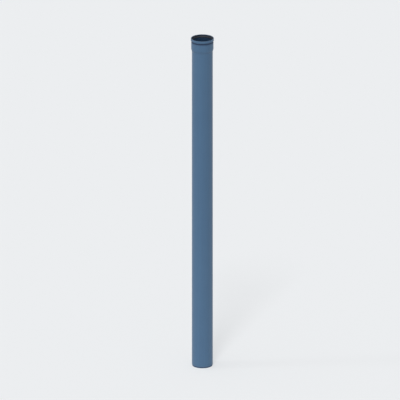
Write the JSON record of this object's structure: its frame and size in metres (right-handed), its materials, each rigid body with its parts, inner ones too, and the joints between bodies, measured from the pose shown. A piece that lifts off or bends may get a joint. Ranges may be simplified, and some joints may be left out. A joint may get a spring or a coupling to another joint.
{
  "type": "sewer pipe",
  "caption": "Solid-wall polypropylene sewer pipe, standing on its chamfered spigot end, with a formed socket and a rubber lip ring at the top.",
  "frame": {"origin": "centre of the spigot tip, on the floor the pipe stands on", "axes": "+Z along the pipe's axis, from the spigot tip up to the socket rim; X and Y are free, as the pipe is round"},
  "size_m": [0.1376, 0.1372, 2.068],
  "materials": {
    "blue_polypropylene": "satin",
    "black_rubber": "matte"
  },
  "bodies": {
    "root": {"pipe": "blue_polypropylene", "seal_ring": "black_rubber"}
  },
  "joints": []
}
